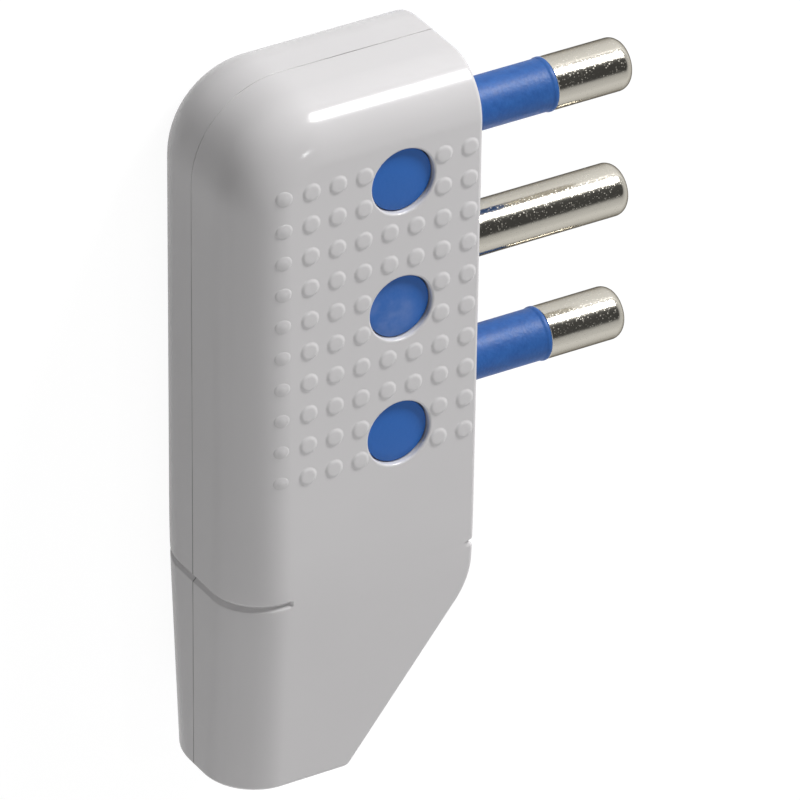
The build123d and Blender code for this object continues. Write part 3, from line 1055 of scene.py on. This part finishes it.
# %% [markdown]
# ### Plastics
#
# The white shells come from a polished mould and are glossy. The blue carrier is duller, and the
# sleeves carry a fine eroded texture that breaks up the light. All of them are one recipe with
# other values: two close tints, a range of gloss and a relief a few hundredths of a millimetre deep.

# %% Recipe for plastic


def plastic(name, low, high, gloss, grain, bump, cloud=90, relief_depth=0.05):
    """Moulded plastic: two close tints mixed by the cloud, gloss range, skin."""
    material = bpy.data.materials.new(name)
    material.use_nodes = True
    tree = material.node_tree
    shader = tree.nodes["Principled BSDF"].inputs
    values = dict(zip(SKIN_INPUTS, (cloud, grain, *gloss)))
    skin = add_node(tree, "ShaderNodeGroup", values, node_tree=moulded_skin)
    tints = {"A": (*low, 1), "B": (*high, 1)}
    tint = feed(tree, add_node(tree, "ShaderNodeMix", tints, data_type="RGBA"), skin.outputs["Cloud"])
    depth = {"Strength": bump, "Distance": relief_depth * MM}
    relief = add_node(tree, "ShaderNodeBump", depth)
    tree.links.new(skin.outputs["Height"], relief.inputs["Height"])
    tree.links.new(tint.outputs["Result"], shader["Base Color"])
    tree.links.new(skin.outputs["Roughness"], shader["Roughness"])
    tree.links.new(relief.outputs["Normal"], shader["Normal"])
    return material


# %% Plastics
shell_white = plastic(
    "shell_white", (0.70, 0.685, 0.69), (0.74, 0.725, 0.73), gloss=(0.13, 0.2), grain=2600, bump=0.03
)
sleeve_blue = plastic(
    "sleeve_blue",
    (0.006, 0.07, 0.29),
    (0.03, 0.145, 0.46),
    gloss=(0.4, 0.56),
    grain=3600,
    bump=0.55,
    cloud=1500,
)
carrier_blue = plastic(
    "carrier_blue", (0.013, 0.115, 0.43), (0.024, 0.15, 0.53), gloss=(0.36, 0.48), grain=2200, bump=0.25
)
clamp_grey = plastic(
    "clamp_grey", (0.28, 0.28, 0.29), (0.34, 0.34, 0.35), gloss=(0.4, 0.5), grain=1800, bump=0.1
)
print("plastics", [m.name for m in (shell_white, sleeve_blue, carrier_blue, clamp_grey)])

# %% [markdown]
# ### Wear on the middle window
#
# The disc in the middle is rubbed pale, where a finger rests. A mask by distance keeps the haze on
# that disc, and noise breaks it into wisps.

# %% Masks and layers


def noise(tree, place, scale, detail):
    """Cloudy noise on a place."""
    values = {"Scale": scale, "Detail": detail}
    return feed(tree, add_node(tree, "ShaderNodeTexNoise", values), place).outputs["Fac"]


def distance_from(tree, place, point):
    """Distance of a place from a point in millimetres."""
    values = {1: Vector(point) * MM}
    node = add_node(tree, "ShaderNodeVectorMath", values, operation="DISTANCE")
    return feed(tree, node, place).outputs["Value"]


def lay_over(material, colour, share):
    """Lays a colour over a finish, by a share that changes over the surface."""
    tree = material.node_tree
    base = tree.nodes["Principled BSDF"].inputs["Base Color"]
    over = feed(tree, add_node(tree, "ShaderNodeMix", {"B": (*colour, 1)}, data_type="RGBA"), share)
    tree.links.new(base.links[0].from_socket, over.inputs["A"])
    tree.links.new(over.outputs["Result"], base)


# %% Haze on the middle window
RUB_MIDDLE = (WINDOW_X - 0.9, -0.6, HALF - 0.4)
RUB_REACH = (0.9 * MM, 3.9 * MM)
WISP_SPAN = (0.36, 0.68)
WISP_SHARE = (0.03, 0.2)
RUBBED_BLUE = (0.5, 0.57, 0.76)


def rub_middle_window(material):
    """Pale rubbed cloud on the disc in the middle window."""
    tree = material.node_tree
    place = add_node(tree, "ShaderNodeTexCoord").outputs["Object"]
    near = map_range(tree, distance_from(tree, place, RUB_MIDDLE), RUB_REACH, (1, 0), smooth=True)
    wisps = map_range(tree, noise(tree, place, scale=520, detail=4), WISP_SPAN, WISP_SHARE)
    lay_over(material, RUBBED_BLUE, reckon(tree, "MULTIPLY", near, wisps))


rub_middle_window(carrier_blue)
print("haze on", carrier_blue.name)

# %% [markdown]
# ### Painted shade in the seam
#
# A fine grey line is painted along the gap between the shells. It is painted shade, darker than the
# shade that the narrow gap casts by itself. The gap itself is modelled. The painted shade is a mask by
# height, because the seam lies at one level all round, and it fades out at the rounded corner.

# %% Painted shade in the parting line
# Painted shade: a grey band at the seam's height, uneven along the line, fading near the corner.
SEAM_SHADE_BAND = (0.04 * MM, 0.09 * MM)
SEAM_SHADE_SPAN = (0.35, 0.6)
SEAM_SHADE_SHARE = (0.25, 0.7)
FADE_CORNER = (BACK_TOP, BODY_TOP, 0)
FADE_REACH = (7 * MM, 15 * MM)
SEAM_SHADE_GREY = (0.13, 0.125, 0.12)


def paint_seam_shade(material):
    """Painted shade as a grey line where the two shells meet, a little uneven along the line."""
    tree = material.node_tree
    place = add_node(tree, "ShaderNodeTexCoord").outputs["Object"]
    split = feed(tree, add_node(tree, "ShaderNodeSeparateXYZ"), place)
    height = reckon(tree, "ABSOLUTE", split.outputs["Z"])
    near = map_range(tree, height, SEAM_SHADE_BAND, (1, 0), smooth=True)
    patchy = map_range(tree, noise(tree, place, scale=110, detail=2), SEAM_SHADE_SPAN, SEAM_SHADE_SHARE)
    away_from_corner = map_range(tree, distance_from(tree, place, FADE_CORNER), FADE_REACH, smooth=True)
    kept = reckon(tree, "MULTIPLY", patchy, away_from_corner)
    # The grey laid over is painted shade in the gap between the shells.
    lay_over(material, SEAM_SHADE_GREY, reckon(tree, "MULTIPLY", near, kept))


# Painted shade along the seam of the white shells.
paint_seam_shade(shell_white)
print("dust on", shell_white.name)

# %% [markdown]
# ### Plated metal
#
# Nickel on a turned pin mirrors the room, and darkens towards its edges because the plating is
# thin and slightly oxidised. Barrel plating leaves fine matt specks. They are made in the roughness
# and not as relief, which would bend the mirrored band into waves.

# %% Metals
EDGE_TINT = (0.15, 0.14, 0.13, 1)


def metal(name, low, high, gloss, grain, bump, relief_depth):
    """Plated metal: slightly uneven colour and a fine orange-peel relief."""
    material = plastic(name, low, high, gloss, grain, bump, relief_depth=relief_depth)
    material.node_tree.nodes["Principled BSDF"].inputs["Metallic"].default_value = 1.0
    return material


pin_nickel = metal(
    "pin_nickel",
    (0.60, 0.57, 0.50),
    (0.67, 0.64, 0.57),
    gloss=(0.1, 0.17),
    grain=2800,
    bump=1.0,
    relief_depth=0.006,
)
pin_nickel.node_tree.nodes["Principled BSDF"].inputs["Specular Tint"].default_value = EDGE_TINT
screw_zinc = metal(
    "screw_zinc",
    (0.55, 0.56, 0.58),
    (0.66, 0.67, 0.68),
    gloss=(0.25, 0.35),
    grain=2200,
    bump=0.2,
    relief_depth=0.05,
)
print("metals", pin_nickel.name, screw_zinc.name)

# %% Specks in the plating
SPECK_SCALE = 4900
SPECK_EDGE = (0.14, 0.5)
SPECK_CHOICE = (0.25, 0.9)
SPECK_MATT = 0.3


def pit_plating(material):
    """Fine matt specks, as barrel plating leaves them on a turned pin."""
    tree = material.node_tree
    rough = tree.nodes["Principled BSDF"].inputs["Roughness"]
    place = add_node(tree, "ShaderNodeTexCoord").outputs["Object"]
    cells = feed(tree, add_node(tree, "ShaderNodeTexVoronoi", {"Scale": SPECK_SCALE}), place)
    speck = map_range(tree, cells.outputs["Distance"], SPECK_EDGE, (1, 0), smooth=True)
    split = feed(tree, add_node(tree, "ShaderNodeSeparateColor"), cells.outputs["Color"])
    chosen = map_range(tree, split.outputs["Red"], SPECK_CHOICE)
    matt = add_node(tree, "ShaderNodeMath", {1: SPECK_MATT}, operation="MULTIPLY_ADD")
    tree.links.new(reckon(tree, "MULTIPLY", speck, chosen), matt.inputs[0])
    tree.links.new(rough.links[0].from_socket, matt.inputs[2])
    tree.links.new(matt.outputs[0], rough)


pit_plating(pin_nickel)
print("specks on", pin_nickel.name)

# %% [markdown]
# ## Dressing
#
# Each measured node gets the finish of its material slot. The new pieces stand in for the nodes
# that show, take the same slots and ride on the one body that this plug has.

# %% Dress the measured nodes
FINISHES = {
    "white_plastic": shell_white,
    "blue_plastic": carrier_blue,
    "nickel_plated_brass": pin_nickel,
    "zinc_plated_steel": screw_zinc,
    "grey_plastic": clamp_grey,
}
for part in frame["record"]["subparts"]:
    piece = nodes[part["node"]]
    piece.data.materials.clear()
    piece.data.materials.append(FINISHES[part["material_slot"]])

# %% Dress the new pieces
dressed = [
    (front_shell, "front_shell", "white_plastic"),
    (rear_shell, "rear_shell", "white_plastic"),
    (carrier, "pin_carrier", "blue_plastic"),
]
dressed += [(piece, f"{name}_pin", "nickel_plated_brass") for name, piece in pins.items()]
dressed += [(piece, f"{name}_sleeve", "blue_plastic") for name, piece in sleeves.items()]
for piece, node, slot in dressed:
    finish = sleeve_blue if piece in sleeves.values() else FINISHES[slot]
    piece.data.materials.append(finish)
    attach(piece, "root")
    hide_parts(node)
print("dressed", [piece.name for piece, _, _ in dressed])
